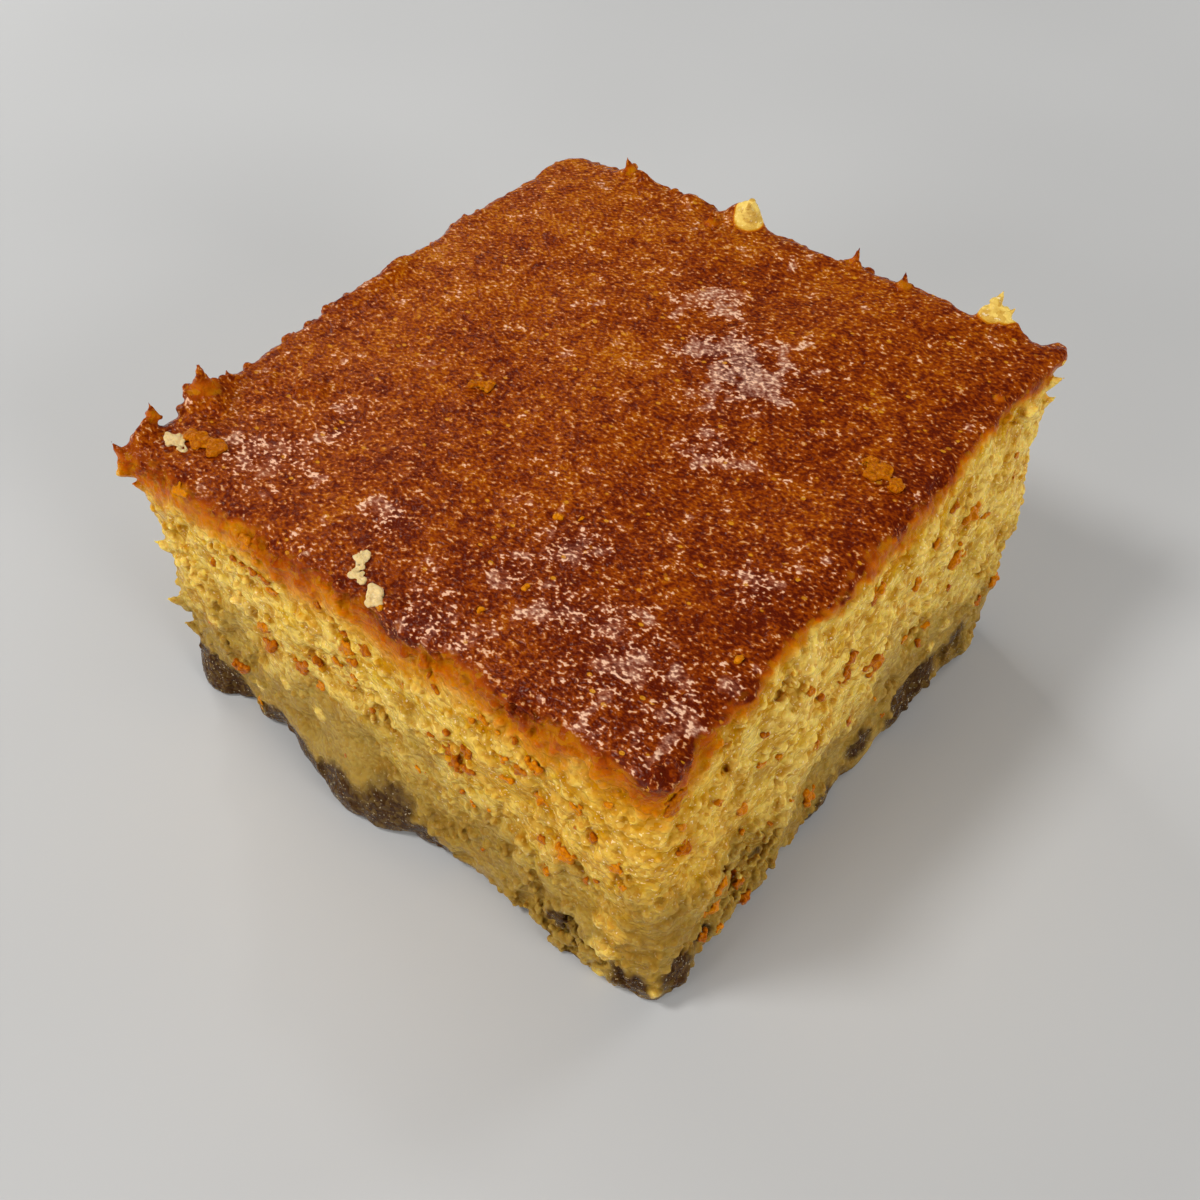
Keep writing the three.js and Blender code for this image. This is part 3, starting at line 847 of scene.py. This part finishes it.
def bits_on_sides(form, surface):
    """Random browned bits on all four sides, most of them high up and on the sides that don't show."""
    spots = []
    for side in range(4):
        for _ in range(BITS_ON_HIDDEN_SIDE if side > 1 else BITS_ON_SEEN_SIDE):
            share = 1 - 0.9 * random_draw.random() ** 0.8  # of the height
            along = random_draw.uniform(-SIDE_REACH, SIDE_REACH)
            place, normal = form.on_side(side, along, share, surface)
            if place is not None:
                breadth = 0.5 + 1.5 * random_draw.random() ** 2  # mostly small ones
                spots.append((place, normal, breadth, random_draw.random()))
    return spots


# ----------------------------------------------------------------------------------------- materials

class Graph:
    """Adds nodes to a node tree. Each call gives the output socket to link on."""

    def __init__(self, tree):
        self.tree = tree

    def feed(self, socket, value):
        if isinstance(value, bpy.types.NodeSocket):
            self.tree.links.new(value, socket)
        elif socket.type == "RGBA":
            socket.default_value = (*value, 1)
        else:
            socket.default_value = value

    def add(self, kind, inputs=None, out=0, **settings):
        node = self.tree.nodes.new(kind)
        for name, value in settings.items():
            setattr(node, name, value)
        for name, value in (inputs or {}).items():
            self.feed(node.inputs[name], value)
        return node.outputs if out is None else node.outputs[out]

    def millimetres(self):
        """The piece's own coordinates, in millimetres."""
        place = self.add("ShaderNodeTexCoord", out="Object")
        return self.add("ShaderNodeVectorMath", {0: place, "Scale": 1 / MM}, operation="SCALE")

    def attribute(self, name):
        return self.add("ShaderNodeAttribute", out="Fac", attribute_name=name)

    def math(self, operation, a, b=0.0, c=0.0):
        return self.add("ShaderNodeMath", {0: a, 1: b, 2: c}, operation=operation)

    def times(self, a, b):
        return self.math("MULTIPLY", a, b)

    def between(self, value, low, high, to_low=0.0, to_high=1.0):
        """The value from one range to another, held at the ends."""
        return self.add("ShaderNodeMapRange", {"Value": value, "From Min": low, "From Max": high,
                                               "To Min": to_low, "To Max": to_high})

    def mix(self, share, a, b):
        return self.add("ShaderNodeMix", {0: share, 6: a, 7: b}, out=2, data_type="RGBA")

    def layered(self, colour, layers):
        """The colour, with each layer's colour over it as far as the layer's share says."""
        for share, over in layers:
            colour = self.mix(share, colour, over)
        return colour

    def ramp(self, value, stops):
        node = self.tree.nodes.new("ShaderNodeValToRGB")
        self.tree.links.new(value, node.inputs[0])
        elements = node.color_ramp.elements
        while len(elements) < len(stops):
            elements.new(0.5)
        for element, (place, colour) in zip(elements, stops):
            element.position, element.color = place, (*colour, 1)
        return node.outputs[0]


def shader_group(name, inputs, outputs, build):
    """A node group with named sockets. build gets the graph and the inputs, and gives the outputs."""
    tree = bpy.data.node_groups.new(name, "ShaderNodeTree")
    for label, kind in inputs:
        tree.interface.new_socket(label, in_out="INPUT", socket_type=kind)
    for label, kind in outputs:
        tree.interface.new_socket(label, in_out="OUTPUT", socket_type=kind)
    entry, leave = tree.nodes.new("NodeGroupInput"), tree.nodes.new("NodeGroupOutput")
    for label, socket in build(Graph(tree), entry.outputs).items():
        tree.links.new(socket, leave.inputs[label])
    return tree


def grain_group():
    """Fine grain: rounded grains of a size, each with a shade of its own, and grit on them."""
    def build(graph, given):
        fine = graph.add("ShaderNodeVectorMath", {0: given["Place"], "Scale": given["Per mm"]},
                         operation="SCALE")
        grains = graph.add("ShaderNodeTexVoronoi", {"Vector": fine, "Scale": 1.0}, out=None)
        grit = graph.add("ShaderNodeTexNoise", {"Vector": fine, "Scale": 1.6, "Detail": 1.0}, out="Fac")
        shade = graph.add("ShaderNodeSeparateColor", {0: grains["Color"]})
        return {"Hollow": grains["Distance"], "Shade": shade, "Grit": grit}
    return shader_group("fine grain", [("Place", "NodeSocketVector"), ("Per mm", "NodeSocketFloat")],
                        [(label, "NodeSocketFloat") for label in ("Hollow", "Shade", "Grit")], build)


def new_material(name):
    """A material, its Principled shader and the graph of its nodes."""
    material = bpy.data.materials.new(name)
    material.use_nodes = True
    return material, material.node_tree.nodes["Principled BSDF"], Graph(material.node_tree)


def moist_material(name, glow, gloss, tint):
    """A material of something moist: glow is the weight of the light that goes through it, and the tint
    is of what it mirrors."""
    material, shader, graph = new_material(name)
    for socket, value in (("Specular IOR Level", gloss), ("Specular Tint", tint),
                          ("Subsurface Weight", glow), ("Subsurface Radius", GLOW_COLOUR),
                          ("Subsurface Scale", GLOW_DEPTH)):
        graph.feed(shader.inputs[socket], value)
    return material, shader, graph


def bumped(graph, shader, height, strength, distance):
    """Fine relief, from a height."""
    bump = graph.add("ShaderNodeBump", {"Height": height, "Strength": strength, "Distance": distance})
    graph.feed(shader.inputs["Normal"], bump)


def crumb_colour(graph, shade, grit, browning, dark):
    """The crumb: browned towards the crust, with pale and amber crumb, painted shade in its hollows and
    creases, stains around the bits, dull and light grains, painted glints, painted shade low down, and
    the wet base, darkened with painted shade, with painted glints of its own."""
    def below_crust(name, low, high, most):
        return graph.times(graph.attribute(name), graph.between(browning, low, high, 0.0, most))

    lit = graph.times(graph.between(shade, 0.72, 0.95, 0.0, 0.55), graph.between(browning, 0.4, 0.7))
    # painted glints: highlights put into the crumb's colour
    painted_glints = graph.times(graph.between(grit, 0.67, 0.72, 0.0, 0.6), graph.between(browning, 0.3, 0.6))
    return graph.layered(graph.ramp(browning, BROWNING), [
        (below_crust("pale", 0.32, 0.6, 0.85), PALEST_CRUMB),
        # amber crumb, and painted shade in the hollows
        (below_crust("amber", 0.1, 0.3, 0.85), AMBER_AND_HOLLOW_SHADE),
        # painted shade in the creases
        (below_crust("crease", 0.1, 0.3, 0.3), PAINTED_CREASE_SHADE),
        (graph.times(graph.attribute("stain"), 0.75), STAIN),
        (graph.between(shade, 0.0, 0.5, 0.55, 0.0), AMBER_AND_HOLLOW_SHADE),
        (lit, PALEST_CRUMB),
        # painted glints
        (painted_glints, PAINTED_CRUMB_GLINTS),
        # painted shade, darker low down
        (graph.times(graph.attribute("low"), 0.8), PAINTED_LOW_SHADE),
        # the wet base, darkened with painted shade
        (graph.times(dark, graph.between(shade, 0.4, 1.0, 1.0, 0.8)), WET_BASE_AND_SHADE),
        # painted glints on the wet base
        (graph.times(painted_glints, graph.between(dark, 0.0, 1.0, 0.0, 0.6)), PAINTED_CRUMB_GLINTS),
    ])


def crust_colour(graph, shade, grit, hollow, haze):
    """The crust: grain in several tones, darker in its creases as painted shade, with single light dots,
    a whitish painted sheen, and tan flecks that grow larger and whiter, as painted glints, where the
    sheen is painted."""
    tone = graph.math("MULTIPLY_ADD", shade, 0.24, graph.attribute("tone"))
    # darker where the grit is low, which on the crust is the bump's hollows: painted crease shade
    tone = graph.math("ADD", tone, graph.between(grit, 0.35, 0.65, -0.45, 0.2))
    # tan flecks, which turn into larger painted glints where the sheen is painted
    flecks_and_painted_glints = graph.math("SUBTRACT", grit, graph.between(haze, 0.0, 0.6, 0.65, 0.56))
    # a whitish painted sheen, where the crust's reflection is painted
    painted_sheen = graph.times(graph.between(haze, 0.5, 1.0), graph.between(grit, 0.36, 0.58, 0.1, 0.8))
    return graph.layered(graph.ramp(tone, CRUST), [
        (graph.times(graph.between(shade, 0.965, 0.975), graph.between(hollow, 0.42, 0.3)), CRUST_DOTS),
        (painted_sheen, PAINTED_CRUST_SHEEN),
        (graph.between(flecks_and_painted_glints, 0.0, 0.08, 0.0, 0.85),
         graph.mix(graph.between(haze, 0.1, 0.5), CRUST_FLECKS, PAINTED_CRUST_GLINTS)),
    ])


def cake_material(grain, name, per_mm, glow, gloss, tint, stretch, bump):
    """The body: browned crust on top, which bleeds into pale moist crumb, and a darker wet base, darkened
    further with painted shade. The fine pattern may be stretched along the way that the crust was
    brushed, and the bump follows its grit or its grains."""
    material, shader, graph = moist_material(name, glow, gloss, tint)
    place = graph.add("ShaderNodeMapping", {"Vector": graph.millimetres(), "Scale": (stretch, 1, 1),
                                            "Rotation": (0, 0, math.radians(-CAMERA_YAW))})
    fine = graph.add("ShaderNodeGroup", {"Place": place, "Per mm": per_mm}, out=None, node_tree=grain)
    shade, grit, hollow = fine["Shade"], fine["Grit"], fine["Hollow"]
    browning, dark, haze = (graph.attribute(mask) for mask in ("browning", "dark", "haze"))
    on_crust = graph.between(browning, 0.12, 0.05)
    crumb = crumb_colour(graph, shade, grit, browning, dark)
    crust = crust_colour(graph, shade, grit, hollow, haze)
    graph.feed(shader.inputs["Base Color"], graph.mix(on_crust, crumb, crust))

    wet = graph.math("MAXIMUM", graph.attribute("moist"), dark)
    crumb_rough = graph.math("MULTIPLY_ADD", wet, -0.08, 0.24)
    crust_rough = graph.math("MULTIPLY_ADD", haze, 0.1, 0.14)
    rough = graph.add("ShaderNodeMix", {0: on_crust, 2: crumb_rough, 3: crust_rough})
    graph.feed(shader.inputs["Roughness"], rough)
    bumped(graph, shader, grit if bump == "grit" else graph.times(hollow, -1.0), *CAKE_BUMP)
    return material


def bit_material(grain, name, colours, roughness):
    """Crumbs: a colour between two by each crumb's tint and its grit, with a moist gloss."""
    material, shader, graph = moist_material(name, glow=0.3, gloss=0.25, tint=WARM_GLOSS)
    shader.inputs["Roughness"].default_value = roughness
    place = graph.millimetres()
    fine = graph.add("ShaderNodeGroup", {"Place": place, "Per mm": BIT_GRAINS}, out=None, node_tree=grain)
    changes = graph.math("ADD", graph.between(fine["Grit"], 0.3, 0.7, -0.5, 0.5), graph.attribute("tint"))
    graph.feed(shader.inputs["Base Color"], graph.mix(graph.between(changes, -0.2, 1.2), *colours))
    bumped(graph, shader, fine["Grit"], *BIT_BUMP)
    return material


def make_floor():
    """A plain pale floor under the cake."""
    shape = bmesh.new()
    bmesh.ops.create_grid(shape, x_segments=1, y_segments=1, size=FLOOR_REACH)
    mesh = from_bmesh(shape, "floor")
    material, shader, graph = new_material("floor")
    place = graph.millimetres()
    cloudy = graph.add("ShaderNodeTexNoise", {"Vector": place, "Scale": 1 / FLOOR_CLOUDS, "Detail": 0.0})
    graph.feed(shader.inputs["Base Color"], graph.mix(cloudy, *FLOOR))
    shader.inputs["Roughness"].default_value = FLOOR_ROUGHNESS
    mesh.materials.append(material)
    placed("floor", mesh)


def main():
    make_camera()
    make_lights()
    make_floor()
    form = Form()
    grain = grain_group()
    crumb = cake_material(grain, "crumb", per_mm=2.2, glow=0.8, gloss=0.1, tint=WARM_GLOSS, stretch=1.0,
                          bump="grains")
    crust = cake_material(grain, "crust", per_mm=2.0, glow=0.0, gloss=0.12, tint=PLAIN_GLOSS, stretch=0.7,
                          bump="grit")
    surface = make_body(form, {"crust": crust, "crumb_near": crumb, "crumb_far": crumb})

    def seen(spots, tint):
        return [(*form.seen_at(*spot, surface), tint) for spot in spots]

    browned = bit_material(grain, "browned crumbs", BROWNED_BITS, roughness=0.28)
    pale = bit_material(grain, "pale crumbs", PALE_BITS, roughness=0.4)
    on_sides = seen(BROWN_BITS, tint=0.85) + seen(ORANGE_BITS, tint=0.15) + bits_on_sides(form, surface)
    make_bits("browned_crumbs", on_sides, heap_of_grains, browned, 130_000, voxel=0.12, raggedness=0.16)
    on_crust = seen(ORANGE_FLAKES, tint=0.8) + seen(DOTS_ON_CRUST, tint=0.2)
    make_bits("crust_flakes", on_crust, flat_flake, browned, 40_000, voxel=0.1, raggedness=0.4)
    pale_spots = seen(PALE_FLAKES, tint=0.2)
    make_bits("pale_flakes", pale_spots, flat_flake, pale, 30_000, voxel=0.1, raggedness=0.4)


main()
